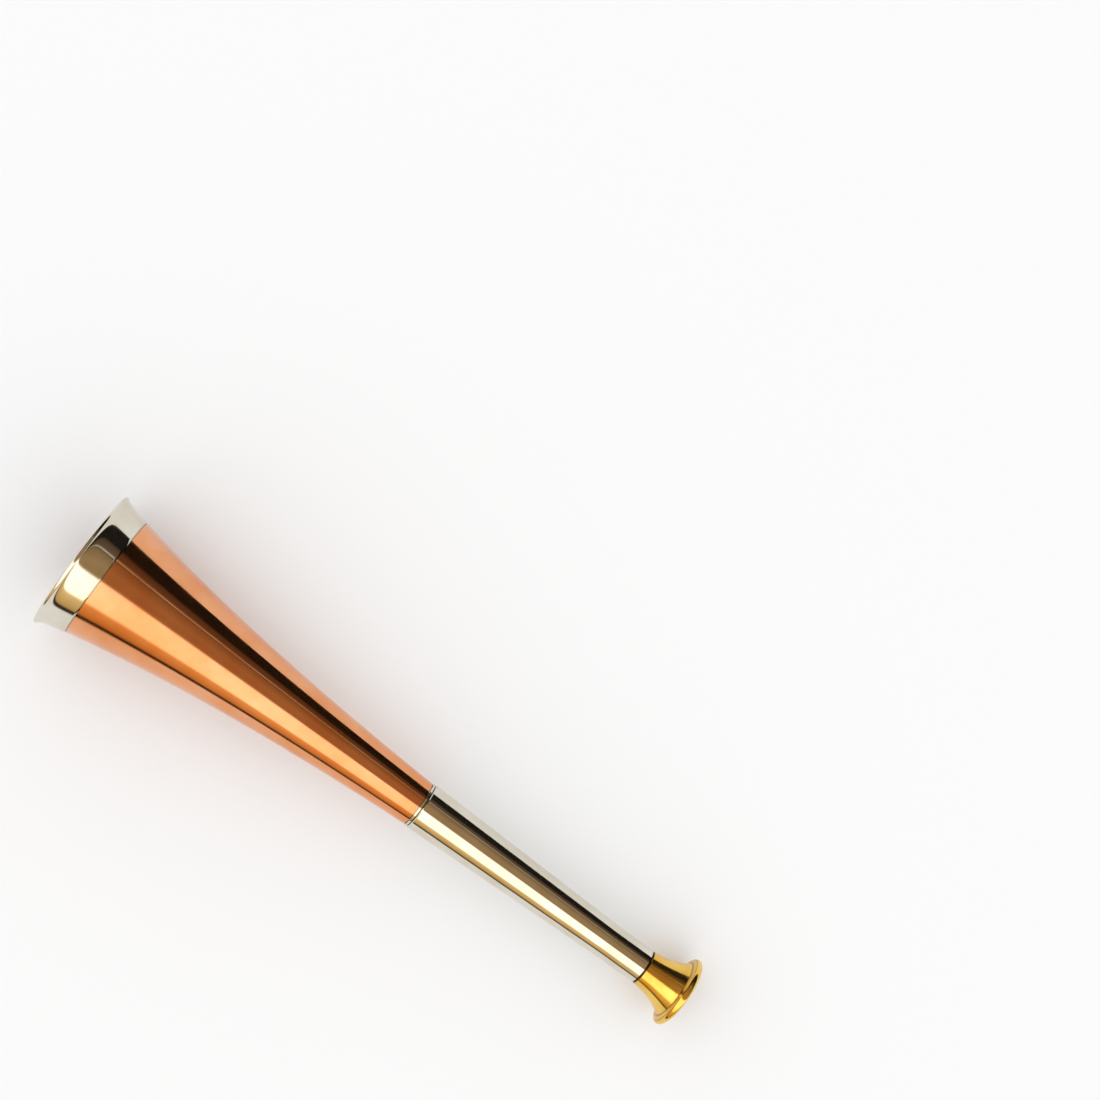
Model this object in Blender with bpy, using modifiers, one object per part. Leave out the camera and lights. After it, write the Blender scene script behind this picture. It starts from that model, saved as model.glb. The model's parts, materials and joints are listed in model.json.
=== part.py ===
# Hunting horn of copper, nickel silver and brass, nine inches long.
# It lies on its side, on the bell's lip and the mouthpiece's rim: +X points to the bell, +Z is up,
# and the origin is on the surface under the middle of the horn.
# Every piece is turned about one axis. Heights along that axis start at the mouthpiece's rim face
# and grow towards the bell.
import math

import bpy

# Driving dimensions, in metres
FACETS = 36  # flats round every turned piece
FIT_GAP = 0.00015  # between the walls of pieces that are soldered or seated together

MOUTHPIECE_LENGTH = 0.0150  # rim face to shoulder
MOUTHPIECE_FLARE_LENGTH = 0.0119
MOUTHPIECE_FLARE_DIAMETER = 0.0190  # where the flare runs into the back of the rim
MOUTHPIECE_STRAIGHT_SHARE = 0.3  # part of the flare that opens evenly
MOUTHPIECE_FLARE_POWER = 2.6  # how suddenly the rest of it opens
RIM_DIAMETER = 0.0237
RIM_BACK_ROUND = 0.0012
RIM_FRONT_ROUND = 0.0016
RIM_CROWN_DIAMETER = 0.0193
CUP_DIAMETER = 0.0168
CUP_EDGE_ROUND = 0.0006
CUP_DEPTH = 0.0150
CUP_POWER = 1.35
THROAT_DIAMETER = 0.0044
THROAT_LENGTH = 0.0020
BACKBORE_DIAMETER = 0.0062
SHANK_LENGTH = 0.0135
SHANK_DIAMETER = 0.0086
SHANK_TAPER = 0.05  # diameter lost for each unit of length
SHOULDER_SEAM = 0.00045  # open line where the taper seats before the shoulder does

TUBE_LENGTH = 0.0855
TUBE_FOOT_DIAMETER = 0.0116  # the mouthpiece's neck lines up with it
TUBE_HEAD_DIAMETER = 0.0157
TUBE_STRAIGHT_LENGTH = 0.0130  # parallel end that holds the receiver
TUBE_WALL = 0.0005
TUBE_HEAD_BEVEL = 0.00025
RECEIVER_LENGTH = 0.0145

COLLAR_RING_WIDTH = 0.0006
COLLAR_RING_DIAMETER = 0.0155
COLLAR_SEAM = 0.0004  # open line between the ring and the tube
COLLAR_BORE_DIAMETER = 0.0128
TUBE_SPIGOT_LENGTH = 0.0080
COPPER_SPIGOT_LENGTH = 0.0080

COPPER_LENGTH = 0.1175  # what shows between the collar and the garland
COPPER_SMALL_DIAMETER = 0.0150
COPPER_LARGE_DIAMETER = 0.0409
COPPER_FLARE = 1.385  # exponent of the flare over its whole length
COPPER_WALL = 0.00045
COPPER_END_BEVEL = 0.00015
JOGGLE_LENGTH = 0.00025  # how steeply the copper steps down under the garland

GARLAND_LENGTH = 0.00975
GARLAND_WALL = 0.0003
GARLAND_STEP = 0.00015  # how far its back edge stands proud of the copper
GARLAND_EDGE_BEVEL = 0.00015
GARLAND_BEVEL_LENGTH = 0.00045
LAP_LENGTH = 0.0040  # how far the garland turns back inside the bell
LIP_DIAMETER = 0.0470
LIP_RISE = 0.0009  # how far the lip turns out from the line of the band
LIP_RUN = 0.0010  # length over which that turn fades
LIP_LAND = 0.0005  # flat on the lip's face
WIRE_DIAMETER = 0.00045

# Radii and heights worked out from them
HALF_COPPER = COPPER_WALL / 2
HEM_INSIDE = HALF_COPPER + FIT_GAP
HEM_OUTSIDE = HEM_INSIDE + GARLAND_WALL

SHOULDER_Z = MOUTHPIECE_LENGTH
TUBE_FOOT_Z = SHOULDER_Z + SHOULDER_SEAM
TUBE_HEAD_Z = TUBE_FOOT_Z + TUBE_LENGTH
RING_FOOT_Z = TUBE_HEAD_Z + COLLAR_SEAM
RING_HEAD_Z = RING_FOOT_Z + COLLAR_RING_WIDTH
COPPER_FOOT_Z = RING_HEAD_Z + FIT_GAP
GARLAND_FOOT_Z = COPPER_FOOT_Z + COPPER_LENGTH
LIP_CENTRE_Z = GARLAND_FOOT_Z + GARLAND_LENGTH - HEM_OUTSIDE
LIP_CENTRE_RADIUS = LIP_DIAMETER / 2 - HEM_OUTSIDE


def remove_everything():
    for thing in list(bpy.data.objects):
        bpy.data.objects.remove(thing)


def spread(first, last, steps):
    """Evenly spaced values from first to last, both included."""
    return [first + (last - first) * i / steps for i in range(steps + 1)]


def arc(centre, radius_across, radius_along, first_degrees, last_degrees, steps):
    """Points of a round edge, as (radius, height). Zero degrees points away from the axis."""
    turns = [math.radians(a) for a in spread(first_degrees, last_degrees, steps)]
    return [
        (centre[0] + radius_across * math.cos(a), centre[1] + radius_along * math.sin(a))
        for a in turns
    ]


def offset(path, distance):
    """The path moved sideways, away from the axis where it runs down."""
    moved = []
    for i, (radius, height) in enumerate(path):
        before = path[max(i - 1, 0)]
        after = path[min(i + 1, len(path) - 1)]
        across, along = after[0] - before[0], after[1] - before[1]
        length = math.hypot(across, along)
        moved.append((radius - distance * along / length, height + distance * across / length))
    return moved


def copper_radius(height):
    """Outside of the copper where it shows: an exponential flare."""
    share = (height - COPPER_FOOT_Z) / COPPER_LENGTH
    opened = (math.exp(COPPER_FLARE * share) - 1) / (math.exp(COPPER_FLARE) - 1)
    return (COPPER_SMALL_DIAMETER + (COPPER_LARGE_DIAMETER - COPPER_SMALL_DIAMETER) * opened) / 2


def hem_radius(height):
    """Middle of the folded hem: the band's even taper, and the lip that turns out at its end."""
    foot = COPPER_LARGE_DIAMETER / 2 + GARLAND_STEP - HEM_OUTSIDE
    head = LIP_CENTRE_RADIUS - LIP_RISE
    share = (height - GARLAND_FOOT_Z) / (LIP_CENTRE_Z - GARLAND_FOOT_Z)
    return foot + (head - foot) * share + LIP_RISE * math.exp((height - LIP_CENTRE_Z) / LIP_RUN)


def hem_path(top, foot, steps):
    """The hem's middle from the lip down, with its points closer together near the lip."""
    heights = [top + (foot - top) * share**1.7 for share in spread(0, 1, steps)]
    return [(hem_radius(height), height) for height in heights]


def tube_radius(height):
    """Outside of the lead tube: parallel at the foot, then an even taper."""
    taper_foot = TUBE_FOOT_Z + TUBE_STRAIGHT_LENGTH
    share = max(0, (height - taper_foot) / (TUBE_HEAD_Z - taper_foot))
    return (TUBE_FOOT_DIAMETER + (TUBE_HEAD_DIAMETER - TUBE_FOOT_DIAMETER) * share) / 2


def shank_radius(height):
    return (SHANK_DIAMETER - SHANK_TAPER * (height - SHOULDER_Z)) / 2


def lip_degrees():
    """Where the lip's round starts, where its flat land ends, and where it meets the band."""
    step = LIP_RUN / 100
    slope = (hem_radius(LIP_CENTRE_Z) - hem_radius(LIP_CENTRE_Z - step)) / step
    lean = math.degrees(math.atan(slope))
    land = math.degrees(math.acos(LIP_LAND / 2 / HEM_OUTSIDE))
    return 90 + lean, land, lean - 90


def bell_body_outline():
    """The copper cone. Its wide end steps down and runs on inside the garland to the wire."""
    lean = math.radians(lip_degrees()[0] - 90)
    top = LIP_CENTRE_Z - (WIRE_DIAMETER / 2 + FIT_GAP) * math.cos(lean)
    hem = hem_path(top, GARLAND_FOOT_Z, 7)
    flare_head = GARLAND_FOOT_Z - JOGGLE_LENGTH
    outer_heights = spread(flare_head, COPPER_FOOT_Z + COPPER_END_BEVEL, 12)
    inner_heights = spread(COPPER_FOOT_Z, flare_head - 2 * JOGGLE_LENGTH, 12)
    return (
        offset(hem, HALF_COPPER)
        + [(copper_radius(height), height) for height in outer_heights]
        + [(copper_radius(COPPER_FOOT_Z) - COPPER_END_BEVEL, COPPER_FOOT_Z)]
        + [(copper_radius(height) - COPPER_WALL, height) for height in inner_heights]
        + offset(hem, -HALF_COPPER)[::-1]
    )


def bell_garland_outline():
    """The nickel-silver band, folded over the copper's edge and lapped back inside the bell."""
    round_start, land, round_end = lip_degrees()
    centre = (LIP_CENTRE_RADIUS, LIP_CENTRE_Z)
    band = hem_path(LIP_CENTRE_Z, GARLAND_FOOT_Z, 8)
    lap = hem_path(LIP_CENTRE_Z, LIP_CENTRE_Z - LAP_LENGTH, 6)
    outside = offset(band, HEM_OUTSIDE)
    foot_radius, foot_height = outside[-1]
    slope = (outside[-2][0] - foot_radius) / (outside[-2][1] - foot_height)
    back_edge = [
        (foot_radius + slope * GARLAND_BEVEL_LENGTH, foot_height + GARLAND_BEVEL_LENGTH),
        (foot_radius - GARLAND_EDGE_BEVEL, foot_height),
    ]
    lip = arc(centre, HEM_OUTSIDE, HEM_OUTSIDE, round_start, 180 - land, 1)
    lip += arc(centre, HEM_OUTSIDE, HEM_OUTSIDE, land, round_end, 4)
    fold = arc(centre, HEM_INSIDE, HEM_INSIDE, round_end, round_start, 5)
    return (
        lip
        + outside[1:-1]
        + back_edge
        + offset(band, HEM_INSIDE)[:0:-1]
        + fold
        + offset(lap, -HEM_INSIDE)[1:]
        + offset(lap, -HEM_OUTSIDE)[:0:-1]
    )


def bell_rim_wire_outline():
    """The stiffening wire in the fold of the lip."""
    radius = WIRE_DIAMETER / 2
    return arc((LIP_CENTRE_RADIUS, LIP_CENTRE_Z), radius, radius, 0, -315, 7)


def joint_collar_outline():
    """A ring that shows between copper and tube, with a spigot inside each of them."""
    copper_end = COPPER_FOOT_Z + COPPER_SPIGOT_LENGTH
    tube_end = TUBE_HEAD_Z - TUBE_SPIGOT_LENGTH
    upper = spread(copper_end, RING_HEAD_Z, 4)
    lower = spread(RING_FOOT_Z, tube_end, 2)
    return (
        [(copper_radius(height) - COPPER_WALL - FIT_GAP, height) for height in upper]
        + [(COLLAR_RING_DIAMETER / 2, RING_HEAD_Z), (COLLAR_RING_DIAMETER / 2, RING_FOOT_Z)]
        + [(tube_radius(height) - TUBE_WALL - FIT_GAP, height) for height in lower]
        + [(COLLAR_BORE_DIAMETER / 2, tube_end), (COLLAR_BORE_DIAMETER / 2, copper_end)]
    )


def lead_tube_outline():
    """The tapered nickel-silver tube."""
    taper_foot = TUBE_FOOT_Z + TUBE_STRAIGHT_LENGTH
    bevel_foot = TUBE_HEAD_Z - TUBE_HEAD_BEVEL
    return [
        (tube_radius(TUBE_HEAD_Z) - TUBE_HEAD_BEVEL, TUBE_HEAD_Z),
        (tube_radius(bevel_foot), bevel_foot),
        (tube_radius(taper_foot), taper_foot),
        (tube_radius(TUBE_FOOT_Z), TUBE_FOOT_Z),
        (tube_radius(TUBE_FOOT_Z) - TUBE_WALL, TUBE_FOOT_Z),
        (tube_radius(taper_foot) - TUBE_WALL, taper_foot),
        (tube_radius(TUBE_HEAD_Z) - TUBE_WALL, TUBE_HEAD_Z),
    ]


def mouthpiece_receiver_outline():
    """The bush in the tube's foot, bored to the shank's taper."""
    outside = TUBE_FOOT_DIAMETER / 2 - TUBE_WALL - FIT_GAP
    top = TUBE_FOOT_Z + RECEIVER_LENGTH
    return [
        (outside, top),
        (outside, TUBE_FOOT_Z),
        (shank_radius(TUBE_FOOT_Z) + FIT_GAP, TUBE_FOOT_Z),
        (shank_radius(top) + FIT_GAP, top),
    ]


def mouthpiece_outline():
    """Shank, shoulder, trumpet flare and rounded rim outside; cup, throat and backbore inside."""
    shank_top = SHOULDER_Z + SHANK_LENGTH
    neck = TUBE_FOOT_DIAMETER / 2
    opening = MOUTHPIECE_FLARE_DIAMETER / 2 - neck
    flare = []
    for share in spread(0, 1, 8):
        opened = MOUTHPIECE_STRAIGHT_SHARE * share
        opened += (1 - MOUTHPIECE_STRAIGHT_SHARE) * share**MOUTHPIECE_FLARE_POWER
        flare.append((neck + opening * opened, SHOULDER_Z - MOUTHPIECE_FLARE_LENGTH * share))
    rim = RIM_DIAMETER / 2
    crown = RIM_CROWN_DIAMETER / 2
    back_centre = (rim - RIM_BACK_ROUND, RIM_FRONT_ROUND)
    back = arc(back_centre, RIM_BACK_ROUND, RIM_BACK_ROUND, 90, 0, 3)
    front = arc((crown, RIM_FRONT_ROUND), rim - crown, RIM_FRONT_ROUND, 0, -90, 4)
    cup_edge_centre = (CUP_DIAMETER / 2 + CUP_EDGE_ROUND, CUP_EDGE_ROUND)
    cup_edge = arc(cup_edge_centre, CUP_EDGE_ROUND, CUP_EDGE_ROUND, -90, -180, 2)
    throat = THROAT_DIAMETER / 2
    cup = []
    for share in spread(0, 1, 6):
        closed = (1 - share) ** CUP_POWER
        height = CUP_EDGE_ROUND + (CUP_DEPTH - CUP_EDGE_ROUND) * share
        cup.append((throat + (CUP_DIAMETER / 2 - throat) * closed, height))
    return (
        [(shank_radius(shank_top), shank_top), (shank_radius(SHOULDER_Z), SHOULDER_Z)]
        + flare
        + back
        + front[1:]
        + cup_edge
        + cup[1:]
        + [(throat, CUP_DEPTH + THROAT_LENGTH), (BACKBORE_DIAMETER / 2, shank_top)]
    )


def new_material(name, colour, roughness):
    material = bpy.data.materials.new(name)
    material.use_nodes = True
    shader = material.node_tree.nodes["Principled BSDF"]
    shader.inputs["Base Color"].default_value = (*colour, 1)
    shader.inputs["Metallic"].default_value = 1
    shader.inputs["Roughness"].default_value = roughness
    return material


def lying_axis(lip, rim):
    """An empty whose Z is the horn's axis, set so that lip and rim both touch the surface."""
    flat = math.cos(math.pi / FACETS)  # the flats lie this much nearer the axis than the corners
    tilt = max(
        min(math.atan2((r1 - r2) * flat, z1 - z2) for r2, z2 in rim) for r1, z1 in lip
    )
    edge = lip + rim
    lowest = min(z * math.sin(tilt) - r * flat * math.cos(tilt) for r, z in edge)
    front = max(z * math.cos(tilt) + r * math.sin(tilt) for r, z in lip)
    back = min(z * math.cos(tilt) - r * math.sin(tilt) for r, z in rim)
    axis = bpy.data.objects.new("horn_axis", None)
    axis.empty_display_size = 0.02
    axis.location = (-(front + back) / 2, 0, -lowest)
    axis.rotation_euler = (0, math.pi / 2 - tilt, 0)
    return axis


def turned(name, outline, material, collection, axis):
    """One turned piece: its outline, taken once round the axis by a Screw modifier."""
    mesh = bpy.data.meshes.new(name)
    corners = [(radius, 0, height) for radius, height in outline]
    edges = [(i, (i + 1) % len(corners)) for i in range(len(corners))]
    mesh.from_pydata(corners, edges, [])
    piece = bpy.data.objects.new(name, mesh)
    collection.objects.link(piece)
    screw = piece.modifiers.new("Turn", "SCREW")
    screw.axis = "Z"
    screw.steps = screw.render_steps = FACETS
    screw.use_merge_vertices = True
    screw.merge_threshold = 0.00001
    # The turned mesh is kept, so that its sharp edges can be marked
    graph = bpy.context.evaluated_depsgraph_get()
    piece.data = bpy.data.meshes.new_from_object(piece.evaluated_get(graph))
    piece.modifiers.clear()
    bpy.data.meshes.remove(mesh)
    piece.data.name = name
    piece.data.shade_smooth()
    piece.data.set_sharp_from_angle(angle=math.radians(35))
    piece.data.materials.append(material)
    piece.parent = axis
    piece.rotation_euler.z = math.pi / FACETS  # a flat, not a corner, faces the surface
    return piece


def build():
    remove_everything()
    collection = bpy.data.collections.new("hunting_horn")
    bpy.context.scene.collection.children.link(collection)
    copper = new_material("polished_copper", (0.80, 0.36, 0.18), 0.12)
    nickel = new_material("nickel_silver", (0.72, 0.68, 0.60), 0.10)
    brass = new_material("yellow_brass", (0.80, 0.58, 0.22), 0.12)
    steel = new_material("steel_wire", (0.45, 0.44, 0.43), 0.4)
    garland = bell_garland_outline()
    mouthpiece = mouthpiece_outline()
    axis = lying_axis(garland, mouthpiece)
    collection.objects.link(axis)
    turned("bell_body", bell_body_outline(), copper, collection, axis)
    turned("bell_garland", garland, nickel, collection, axis)
    turned("bell_rim_wire", bell_rim_wire_outline(), steel, collection, axis)
    turned("joint_collar", joint_collar_outline(), nickel, collection, axis)
    turned("lead_tube", lead_tube_outline(), nickel, collection, axis)
    turned("mouthpiece_receiver", mouthpiece_receiver_outline(), nickel, collection, axis)
    turned("mouthpiece", mouthpiece, brass, collection, axis)


build()
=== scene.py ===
import json
import math

import bmesh
import bpy
from mathutils import Matrix, Vector


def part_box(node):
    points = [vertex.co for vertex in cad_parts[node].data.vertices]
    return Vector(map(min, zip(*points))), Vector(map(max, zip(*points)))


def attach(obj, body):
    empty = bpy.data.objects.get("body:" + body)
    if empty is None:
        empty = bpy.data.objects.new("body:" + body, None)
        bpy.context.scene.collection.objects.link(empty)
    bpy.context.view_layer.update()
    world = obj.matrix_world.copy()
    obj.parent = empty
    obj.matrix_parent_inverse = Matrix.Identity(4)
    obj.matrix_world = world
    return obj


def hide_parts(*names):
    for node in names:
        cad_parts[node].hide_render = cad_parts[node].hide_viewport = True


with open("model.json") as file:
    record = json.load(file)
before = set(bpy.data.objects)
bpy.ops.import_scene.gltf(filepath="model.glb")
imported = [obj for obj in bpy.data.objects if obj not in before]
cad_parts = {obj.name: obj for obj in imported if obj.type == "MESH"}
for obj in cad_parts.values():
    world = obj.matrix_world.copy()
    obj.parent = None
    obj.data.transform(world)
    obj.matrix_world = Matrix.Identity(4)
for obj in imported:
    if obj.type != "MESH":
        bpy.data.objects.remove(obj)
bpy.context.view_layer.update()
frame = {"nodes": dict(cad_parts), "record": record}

mm = 0.001
weldDistance = 1e-7  # metres, closes the seam that a spin leaves

# Every piece is turned about the horn's own axis. Sizes are in mm, and heights run along that axis
# from the mouthpiece's rim face to the bell.
bushHeight = 22.7  # middle of the bush in the tube's foot
joints = frame["record"]["behaviour"]["joints"]
slide = next(joint for joint in joints if joint["name"] == "mouthpiece_slide")
toBell = -Vector(slide["axis"]).normalized()
bushLow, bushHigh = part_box("mouthpiece_receiver")
rimCentre = (Vector(bushLow) + Vector(bushHigh)) / 2 - toBell * bushHeight * mm
sideways = Vector((0, 1, 0))
hornTurn = Matrix((sideways.cross(toBell), sideways, toBell)).transposed().to_4x4()
hornPlace = Matrix.Translation(rimCentre) @ hornTurn


def spread(first, last, steps):
    return [first + (last - first) * i / steps for i in range(steps + 1)]


def arc(centre, radius, firstDegrees, lastDegrees, steps, stretch=1.0):
    # a round edge in the profile: 0 degrees points away from the axis, and stretch widens it that way
    turns = [math.radians(degrees) for degrees in spread(firstDegrees, lastDegrees, steps)]
    return [(centre[0] + radius * stretch * math.cos(turn), centre[1] + radius * math.sin(turn))
            for turn in turns]


def sideStep(path, distance):
    # the profile line moved sideways, away from the axis where it runs down
    moved = []
    for i, (radius, height) in enumerate(path):
        before, after = path[max(i - 1, 0)], path[min(i + 1, len(path) - 1)]
        across, along = after[0] - before[0], after[1] - before[1]
        length = math.hypot(across, along)
        moved.append((radius - distance * along / length, height + distance * across / length))
    return moved


def turnOnLathe(name, profile, metal, segments=192, creaseDegrees=30):
    # a closed profile of (radius, height) spun once round the horn's axis
    bm = bmesh.new()
    corners = [bm.verts.new((radius * mm, 0, height * mm)) for radius, height in profile]
    for i, corner in enumerate(corners):
        bm.edges.new((corner, corners[(i + 1) % len(corners)]))
    bmesh.ops.spin(bm, geom=bm.verts[:] + bm.edges[:], cent=(0, 0, 0), axis=(0, 0, 1),
                   angle=math.tau, steps=segments, use_merge=True)
    bmesh.ops.remove_doubles(bm, verts=bm.verts[:], dist=weldDistance)
    bmesh.ops.recalc_face_normals(bm, faces=bm.faces[:])
    bmesh.ops.transform(bm, matrix=hornPlace, verts=bm.verts[:])
    mesh = bpy.data.meshes.new(name)
    bm.to_mesh(mesh)
    bm.free()
    mesh.shade_smooth()
    mesh.set_sharp_from_angle(angle=math.radians(creaseDegrees))
    mesh.materials.append(metal)
    piece = bpy.data.objects.new(name, mesh)
    bpy.context.scene.collection.objects.link(piece)
    print(name, "turned")
    return piece


def srgb(hexColour, strength=1.0):
    # a colour as written on screen, to the linear one that a shader takes
    values = [int(hexColour[i:i + 2], 16) / 255 for i in (1, 3, 5)]
    linear = [v / 12.92 if v <= 0.04045 else ((v + 0.055) / 1.055) ** 2.4 for v in values]
    return tuple(v * strength for v in linear) + (1.0,)


def addNode(tree, kind, settings=None, **inputs):
    # settings are the node's own fields. An input goes by its name, or by its number as in i0, and
    # takes a value or another node's output.
    node = tree.nodes.new(kind)
    for field, value in (settings or {}).items():
        setattr(node, field, value)
    for key, value in inputs.items():
        socket = node.inputs[int(key[1:]) if key[1:].isdigit() else key.replace("_", " ")]
        if isinstance(value, bpy.types.NodeSocket):
            tree.links.new(value, socket)
        else:
            socket.default_value = value
    return node


def polishedMetal(name, look):
    # bare metal: two tones in soft clouds, painted shade in dark bands at the seams, buffing lines and
    # faint dents
    material = bpy.data.materials.new(name)
    material.use_nodes = True
    tree = material.node_tree
    shader = tree.nodes["Principled BSDF"]
    shader.inputs["Metallic"].default_value = 1.0

    # where a point lies on the horn: its height along the axis and its direction round it
    place = addNode(tree, "ShaderNodeTexCoord").outputs["Object"]
    onAxis = addNode(tree, "ShaderNodeMapping", {"vector_type": "TEXTURE"}, Vector=place,
                     Location=rimCentre, Rotation=hornPlace.to_euler()).outputs["Vector"]
    parts = addNode(tree, "ShaderNodeSeparateXYZ", Vector=onAxis).outputs
    height = parts["Z"]
    outward = addNode(tree, "ShaderNodeCombineXYZ", X=parts["X"], Y=parts["Y"]).outputs["Vector"]

    clouds = addNode(tree, "ShaderNodeTexNoise", Vector=onAxis, Scale=1 / (look["cloudSize"] * mm),
                     Detail=3.0, Roughness=0.55).outputs["Fac"]
    cloudShare = addNode(tree, "ShaderNodeMapRange", Value=clouds,
                         From_Min=0.35, From_Max=0.65).outputs["Result"]
    tone = addNode(tree, "ShaderNodeMix", {"data_type": "RGBA"}, i0=cloudShare,
                   i6=srgb(look["colour"]), i7=srgb(look["warmColour"])).outputs[2]

    # painted shade: dark bands where shadow falls in the gaps at the seams between parts and under the
    # mouthpiece's rim
    for seamHeight, width, strength in look["shadedSeams"]:
        above = addNode(tree, "ShaderNodeMath", {"operation": "SUBTRACT"},
                        i0=height, i1=seamHeight * mm).outputs[0]
        away = addNode(tree, "ShaderNodeMath", {"operation": "ABSOLUTE"}, i0=above).outputs[0]
        seamShadeShare = addNode(tree, "ShaderNodeMapRange", {"interpolation_type": "SMOOTHSTEP"}, Value=away,
                       From_Min=0.0, From_Max=width * mm, To_Min=strength, To_Max=0.0).outputs["Result"]
        tone = addNode(tree, "ShaderNodeMix", {"data_type": "RGBA"}, i0=seamShadeShare, i6=tone,
                       i7=srgb(look["seamShade"])).outputs[2]
    tree.links.new(tone, shader.inputs["Base Color"])

    # buffing lines run along the cone, and round the pieces that were finished on the lathe. Real
    # ones are far finer: these are as wide as the render needs to show them.
    if "linesAlong" in look:
        around = addNode(tree, "ShaderNodeVectorMath", {"operation": "NORMALIZE"},
                         Vector=outward).outputs["Vector"]
        aroundParts = addNode(tree, "ShaderNodeSeparateXYZ", Vector=around).outputs
        pulled = addNode(tree, "ShaderNodeMath", {"operation": "MULTIPLY"},
                         i0=height, i1=look["linePull"]).outputs[0]
        lengthwise = addNode(tree, "ShaderNodeCombineXYZ", X=aroundParts["X"], Y=aroundParts["Y"],
                             Z=pulled).outputs["Vector"]
        lines = addNode(tree, "ShaderNodeTexNoise", Vector=lengthwise, Scale=look["linesAlong"],
                        Detail=2.0, Roughness=0.6).outputs["Fac"]
    else:
        radius = addNode(tree, "ShaderNodeVectorMath", {"operation": "LENGTH"},
                         Vector=outward).outputs["Value"]
        reach = addNode(tree, "ShaderNodeMath", {"operation": "ADD"}, i0=height, i1=radius).outputs[0]
        lines = addNode(tree, "ShaderNodeTexNoise", {"noise_dimensions": "1D"}, W=reach,
                        Scale=1 / (look["lineGap"] * mm), Detail=2.0, Roughness=0.7).outputs["Fac"]

    mottle = addNode(tree, "ShaderNodeMath", {"operation": "ADD"}, i0=clouds, i1=lines).outputs[0]
    smoothest, roughest = look["roughness"]
    roughness = addNode(tree, "ShaderNodeMapRange", Value=mottle, From_Min=0.7, From_Max=1.3,
                        To_Min=smoothest, To_Max=roughest).outputs["Result"]
    tree.links.new(roughness, shader.inputs["Roughness"])

    dents = addNode(tree, "ShaderNodeTexNoise", Vector=onAxis, Scale=1 / (look["dentSize"] * mm),
                    Detail=1.0).outputs["Fac"]
    dented = addNode(tree, "ShaderNodeBump", Strength=look["dentDepth"], Distance=0.05 * mm,
                     Height=dents).outputs["Normal"]
    bump = addNode(tree, "ShaderNodeBump", Strength=look["lineDepth"], Distance=0.01 * mm,
                   Height=lines, Normal=dented).outputs["Normal"]
    tree.links.new(bump, shader.inputs["Normal"])
    return material


# In the looks below, sizes are in mm. A dark band of painted seam shade is its height, its half width
# and how dark it is.
copperLook = {  # copper sheet, spun and buffed: an orange mirror with faint lines along the cone
    "colour": "#E9A67A", "warmColour": "#E0935F", "seamShade": "#2A150C", "cloudSize": 18.0,
    # painted shade at the joints with the ring and with the lip band
    "shadedSeams": [(102.0, 0.35, 0.9), (219.75, 0.3, 0.7)],
    # lines about 11 mm long, and 0.3 mm wide at the joint and 0.9 mm at the lip band
    "linesAlong": 22.0, "linePull": 4.0, "lineDepth": 0.05,
    "roughness": (0.07, 0.13), "dentSize": 14.0, "dentDepth": 0.06,
}
nickelLook = {  # nickel silver sheet, buffed: whiter than brass, with a faint straw tint
    "colour": "#DDD8CC", "warmColour": "#D2CAB6", "seamShade": "#1B1713", "cloudSize": 12.0,
    # painted shade at the ring, at the tube's foot and at the lip band
    "shadedSeams": [(101.15, 0.3, 0.95), (15.45, 0.3, 0.9), (219.6, 0.18, 0.6)],
    "lineGap": 0.35, "lineDepth": 0.04,
    "roughness": (0.06, 0.11), "dentSize": 9.0, "dentDepth": 0.05,
}
brassLook = {  # yellow brass bar, turned and polished: cutter lines run round it
    "colour": "#EFC868", "warmColour": "#E2AF4C", "seamShade": "#2B1B0A", "cloudSize": 7.0,
    # painted shade at the mouthpiece's shoulder and under its rim
    "shadedSeams": [(15.0, 0.35, 0.85), (3.05, 0.16, 0.65), (2.55, 0.16, 0.55)],
    "lineGap": 0.3, "lineDepth": 0.08,
    "roughness": (0.10, 0.18), "dentSize": 6.0, "dentDepth": 0.06,
}
steelLook = {  # drawn steel wire: dull grey
    "colour": "#8A8886", "warmColour": "#7A7672", "seamShade": "#3A342E", "cloudSize": 3.0,
    "shadedSeams": [],
    "lineGap": 0.2, "lineDepth": 0.1,
    "roughness": (0.32, 0.45), "dentSize": 3.0, "dentDepth": 0.1,
}
copper = polishedMetal("spunCopper", copperLook)
nickel = polishedMetal("nickelSilver", nickelLook)
brass = polishedMetal("turnedBrass", brassLook)
steel = polishedMetal("steelWire", steelLook)
print("metals ready")

# The copper cone flares exponentially. Its wide end steps down and runs on inside the lip band.
cone = {
    "foot": 102.1, "length": 117.5, "smallRadius": 7.5, "largeRadius": 20.45, "flare": 1.385,
    "wall": 0.45, "endBevel": 0.15, "stepDown": 0.25,
}
band = {
    "foot": 219.6, "length": 9.75, "wall": 0.3, "fit": 0.15, "proud": 0.15,
    "bevel": 0.15, "bevelLength": 0.45, "lap": 4.0,
    "lipRadius": 23.5, "lipRise": 0.9, "lipRun": 1.0, "lipLand": 0.5, "wireRadius": 0.225,
    "crowding": 1.7,  # draws the profile's points towards the lip
}
hemInside = cone["wall"] / 2 + band["fit"]
hemOutside = hemInside + band["wall"]
lipRadius, lipHeight = band["lipRadius"] - hemOutside, band["foot"] + band["length"] - hemOutside
lipCentre = (lipRadius, lipHeight)


def coneRadius(height):
    share = (height - cone["foot"]) / cone["length"]
    opened = (math.exp(cone["flare"] * share) - 1) / (math.exp(cone["flare"]) - 1)
    return cone["smallRadius"] + (cone["largeRadius"] - cone["smallRadius"]) * opened


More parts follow.
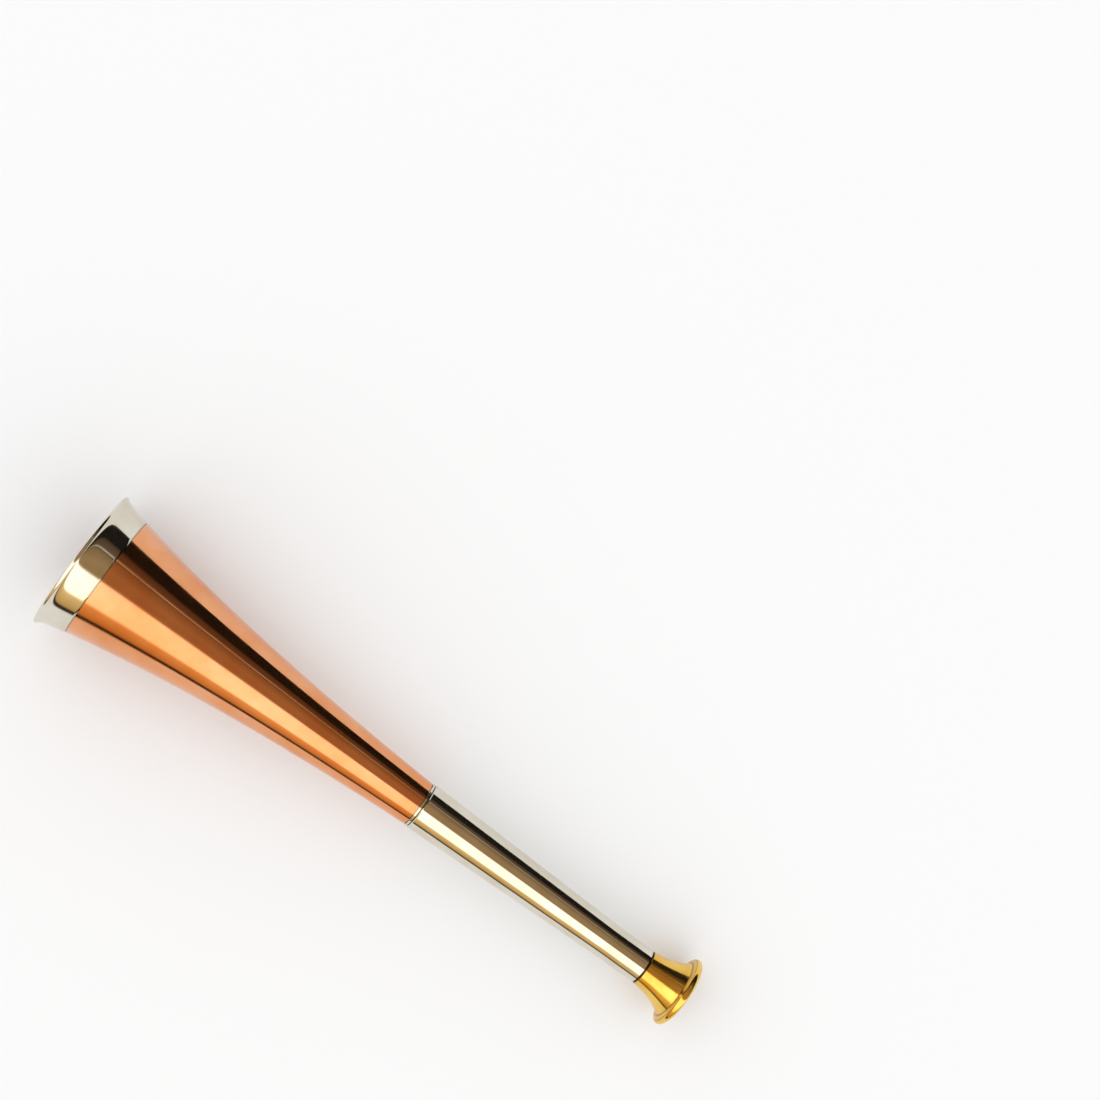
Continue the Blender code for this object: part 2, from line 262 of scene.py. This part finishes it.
def hemLine(top, foot, steps):
    # middle of the folded hem from the lip down: an even taper, and the lip that turns out
    start = cone["largeRadius"] + band["proud"] - hemOutside
    end = lipRadius - band["lipRise"]
    line = []
    for share in spread(0, 1, steps):
        height = top + (foot - top) * share ** band["crowding"]
        along = (height - band["foot"]) / (lipHeight - band["foot"])
        turnOut = band["lipRise"] * math.exp((height - lipHeight) / band["lipRun"])
        line.append((start + (end - start) * along + turnOut, height))
    return line


(topRadius, topHeight), (nextRadius, nextHeight) = hemLine(lipHeight, lipHeight - 0.01, 1)
lipLean = math.degrees(math.atan((topRadius - nextRadius) / (topHeight - nextHeight)))
hemTop = lipHeight - (band["wireRadius"] + band["fit"]) * math.cos(math.radians(lipLean))
copperHem = hemLine(hemTop, cone["foot"] + cone["length"], 16)
flareHead = cone["foot"] + cone["length"] - cone["stepDown"]
outerHeights = spread(flareHead, cone["foot"] + cone["endBevel"], 60)
innerHeights = spread(cone["foot"], flareHead - 2 * cone["stepDown"], 60)
coneProfile = sideStep(copperHem, cone["wall"] / 2)
coneProfile += [(coneRadius(height), height) for height in outerHeights]
coneProfile += [(coneRadius(cone["foot"]) - cone["endBevel"], cone["foot"])]
coneProfile += [(coneRadius(height) - cone["wall"], height) for height in innerHeights]
coneProfile += sideStep(copperHem, -cone["wall"] / 2)[::-1]
bellCone = turnOnLathe("bellCone", coneProfile, copper)
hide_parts("bell_body")
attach(bellCone, "horn")

# The lip band folds over the copper's edge and a wire, and laps back inside the bell
landDegrees = math.degrees(math.acos(band["lipLand"] / 2 / hemOutside))
bandLine = hemLine(lipHeight, band["foot"], 24)
lapLine = hemLine(lipHeight, lipHeight - band["lap"], 14)
bandOutside = sideStep(bandLine, hemOutside)
footRadius, footHeight = bandOutside[-1]
slope = (bandOutside[-2][0] - footRadius) / (bandOutside[-2][1] - footHeight)
bandProfile = arc(lipCentre, hemOutside, 90 + lipLean, 180 - landDegrees, 6)
bandProfile += arc(lipCentre, hemOutside, landDegrees, lipLean - 90, 16)
bandProfile += bandOutside[1:-1]
bandProfile += [(footRadius + slope * band["bevelLength"], footHeight + band["bevelLength"]),
                (footRadius - band["bevel"], footHeight)]
bandProfile += sideStep(bandLine, hemInside)[:0:-1]
bandProfile += arc(lipCentre, hemInside, lipLean - 90, 90 + lipLean, 12)
bandProfile += sideStep(lapLine, -hemInside)[1:]
bandProfile += sideStep(lapLine, -hemOutside)[:0:-1]
lipBand = turnOnLathe("lipBand", bandProfile, nickel)
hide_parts("bell_garland")
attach(lipBand, "horn")

# The ring between cone and tube has a spigot inside each of them
tube = {
    "foot": 15.45, "length": 85.5, "footRadius": 5.8, "headRadius": 7.85, "parallel": 13.0,
    "wall": 0.5, "headBevel": 0.25, "footBevel": 0.12,
    "taperStart": 1.5,  # below the head, where the profile's even steps begin
}
ring = {
    "foot": 101.35, "width": 0.6, "radius": 7.75, "bore": 6.4, "edge": 0.1,
    "tubeSpigot": 8.0, "coneSpigot": 8.0, "fit": 0.15,
}
tubeHead = tube["foot"] + tube["length"]
taperFoot = tube["foot"] + tube["parallel"]


def tubeRadius(height):
    share = max(0, (height - taperFoot) / (tubeHead - taperFoot))
    return tube["footRadius"] + (tube["headRadius"] - tube["footRadius"]) * share


ringHead = ring["foot"] + ring["width"]
coneEnd = cone["foot"] + ring["coneSpigot"]
tubeEnd = tubeHead - ring["tubeSpigot"]
edgeRadius = ring["radius"] - ring["edge"]
inCone = [(coneRadius(height) - cone["wall"] - ring["fit"], height)
          for height in spread(coneEnd, ringHead, 12)]
inTube = [(tubeRadius(height) - tube["wall"] - ring["fit"], height)
          for height in spread(ring["foot"], tubeEnd, 8)]
ringProfile = inCone
ringProfile += arc((edgeRadius, ringHead - ring["edge"]), ring["edge"], 90, 0, 3)
ringProfile += arc((edgeRadius, ring["foot"] + ring["edge"]), ring["edge"], 0, -90, 3)
ringProfile += inTube
ringProfile += [(ring["bore"], tubeEnd), (ring["bore"], coneEnd)]
jointRing = turnOnLathe("jointRing", ringProfile, nickel)
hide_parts("joint_collar")
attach(jointRing, "horn")

bevelFoot = tubeHead - tube["headBevel"]
outerHeights = spread(tubeHead - tube["taperStart"], tube["foot"] + tube["footBevel"], 50)
innerHeights = spread(tube["foot"], tubeHead, 30)
tubeProfile = [(tubeRadius(tubeHead) - tube["headBevel"], tubeHead), (tubeRadius(bevelFoot), bevelFoot)]
tubeProfile += [(tubeRadius(height), height) for height in outerHeights]
tubeProfile += [(tube["footRadius"] - tube["footBevel"], tube["foot"])]
tubeProfile += [(tubeRadius(height) - tube["wall"], height) for height in innerHeights]
leadTube = turnOnLathe("leadTube", tubeProfile, nickel)
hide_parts("lead_tube")
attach(leadTube, "horn")

# The mouthpiece: shank, shoulder, trumpet flare and rounded rim outside, and the cup and bore inside
cup = {
    "length": 15.0, "neck": 5.8, "neckBevel": 0.12,
    "flareLength": 11.9, "flareRadius": 9.5, "straightShare": 0.3, "flarePower": 2.6,
    "rim": 11.85, "backRound": 1.2, "frontRound": 1.6, "crown": 9.65,
    "cupRadius": 8.4, "cupEdge": 0.6, "cupDepth": 15.0, "cupPower": 1.35,
    "throat": 2.2, "throatLength": 2.0, "backbore": 3.1,
    "shank": 13.5, "shankRadius": 4.3, "shankTaper": 0.025,
}
shankTop = cup["length"] + cup["shank"]
flareTop = cup["length"] - cup["neckBevel"]
flareRun = cup["flareLength"] - cup["neckBevel"]
mouthProfile = [(cup["shankRadius"] - cup["shankTaper"] * cup["shank"], shankTop),
                (cup["shankRadius"], cup["length"]), (cup["neck"] - cup["neckBevel"], cup["length"])]
for share in spread(0, 1, 40):
    opened = cup["straightShare"] * share + (1 - cup["straightShare"]) * share ** cup["flarePower"]
    mouthProfile.append((cup["neck"] + (cup["flareRadius"] - cup["neck"]) * opened,
                         flareTop - flareRun * share))
frontStretch = (cup["rim"] - cup["crown"]) / cup["frontRound"]
backCentre = (cup["rim"] - cup["backRound"], cup["frontRound"])
frontCentre = (cup["crown"], cup["frontRound"])
edgeCentre = (cup["cupRadius"] + cup["cupEdge"], cup["cupEdge"])
mouthProfile += arc(backCentre, cup["backRound"], 90, 0, 12)
mouthProfile += arc(frontCentre, cup["frontRound"], 0, -90, 20, stretch=frontStretch)[1:]
mouthProfile += arc(edgeCentre, cup["cupEdge"], -90, -180, 8)
for share in spread(0, 1, 30)[1:]:
    closed = (1 - share) ** cup["cupPower"]
    mouthProfile.append((cup["throat"] + (cup["cupRadius"] - cup["throat"]) * closed,
                         cup["cupEdge"] + (cup["cupDepth"] - cup["cupEdge"]) * share))
mouthProfile += [(cup["throat"], cup["cupDepth"] + cup["throatLength"]), (cup["backbore"], shankTop)]
mouthCup = turnOnLathe("mouthCup", mouthProfile, brass)
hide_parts("mouthpiece")
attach(mouthCup, "mouthpiece")

# The bush, which shows when the mouthpiece is out, and the lip's wire keep their solid shapes
for node, metal in (("mouthpiece_receiver", nickel), ("bell_rim_wire", steel)):
    for holder in frame["nodes"][node].material_slots:
        holder.material = metal

# White paper under the horn
floorHalf = 3.0  # metres
floorMesh = bpy.data.meshes.new("floor")
bm = bmesh.new()
bmesh.ops.create_grid(bm, x_segments=1, y_segments=1, size=floorHalf)
bm.to_mesh(floorMesh)
bm.free()
floor = bpy.data.objects.new("floor", floorMesh)
bpy.context.scene.collection.objects.link(floor)
paper = bpy.data.materials.new("whitePaper")
paper.use_nodes = True
paperShader = paper.node_tree.nodes["Principled BSDF"]
paperShader.inputs["Base Color"].default_value = srgb("#FCFCFC")
paperShader.inputs["Roughness"].default_value = 0.9
floorMesh.materials.append(paper)

# An even white studio lights the horn. Mirror metal shows it as strips, by the angle about the horn's
# length: 0 is overhead, and positive angles lie towards +Y.
studioStrips = [  # degrees, colour, strength: only the soft box overhead is brighter than white paper
    (-180, "#FFFFFF", 1), (-108, "#F2EFEA", 1), (-105, "#1C1712", 1), (-62, "#1A1510", 1),
    (-57, "#5A4634", 1), (-44, "#6B5540", 1), (-43, "#E8DCC8", 1), (-41.5, "#E8DCC8", 1),
    (-41, "#3A2E22", 1), (-38, "#8C7350", 1), (-20, "#AC8D66", 1), (2, "#A98A62", 1),
    (6, "#FFF8EC", 1.9), (50, "#FFF6E4", 1.9), (54, "#EAC98C", 1.2), (78, "#C9A062", 1.1),
    (82, "#2A2018", 1), (87, "#2A2018", 1), (90, "#F4F2EE", 1), (180, "#FFFFFF", 1),
]
brightest = max(strength for degrees, colour, strength in studioStrips)
studio = bpy.data.worlds.new("studio")
bpy.context.scene.world = studio
studio.use_nodes = True
sky = studio.node_tree
sky.nodes.clear()
skyPlace = addNode(sky, "ShaderNodeTexCoord").outputs["Generated"]
skyParts = addNode(sky, "ShaderNodeSeparateXYZ", Vector=skyPlace).outputs
skyAngle = addNode(sky, "ShaderNodeMath", {"operation": "ARCTAN2"},
                   i0=skyParts["Y"], i1=skyParts["Z"]).outputs[0]
skyShare = addNode(sky, "ShaderNodeMapRange", Value=skyAngle,
                   From_Min=-math.pi, From_Max=math.pi).outputs["Result"]
strips = addNode(sky, "ShaderNodeValToRGB", Fac=skyShare)
elements = strips.color_ramp.elements
elements.remove(elements[-1])
for i, (degrees, colour, strength) in enumerate(studioStrips):
    position = (degrees + 180) / 360
    element = elements.new(position) if i else elements[0]
    element.position = position
    element.color = srgb(colour, strength / brightest)
plainSky = addNode(sky, "ShaderNodeBackground", Color=(1, 1, 1, 1), Strength=1.0).outputs[0]
mirrorSky = addNode(sky, "ShaderNodeBackground", Color=strips.outputs["Color"],
                    Strength=brightest).outputs[0]
isGlossy = addNode(sky, "ShaderNodeLightPath").outputs["Is Glossy Ray"]
skyMix = addNode(sky, "ShaderNodeMixShader", i0=isGlossy, i1=plainSky, i2=mirrorSky).outputs[0]
addNode(sky, "ShaderNodeOutputWorld", Surface=skyMix)

# The camera looks down from almost overhead, leaning a little to the bell's end
eye = {
    "lens": 77.5,
    "target": (0.0012, -0.0868, 0.0177),  # metres
    "distance": 0.727,  # metres
    "leanDegrees": 2.67,
    "right": (-0.803, -0.596, 0.0),  # the picture's right
}
lean = math.radians(eye["leanDegrees"])
backward = Vector((math.sin(lean), 0, math.cos(lean)))
right = Vector(eye["right"])
right = (right - backward * right.dot(backward)).normalized()
up = backward.cross(right)
cameraTurn = Matrix((right, up, backward)).transposed().to_4x4()
cameraData = bpy.data.cameras.new("camera")
cameraData.lens = eye["lens"]
camera = bpy.data.objects.new("camera", cameraData)
bpy.context.scene.collection.objects.link(camera)
cameraPlace = Vector(eye["target"]) + backward * eye["distance"]
camera.matrix_world = Matrix.Translation(cameraPlace) @ cameraTurn
bpy.context.scene.camera = camera
bpy.context.scene.view_settings.view_transform = "Standard"
print("studio ready")
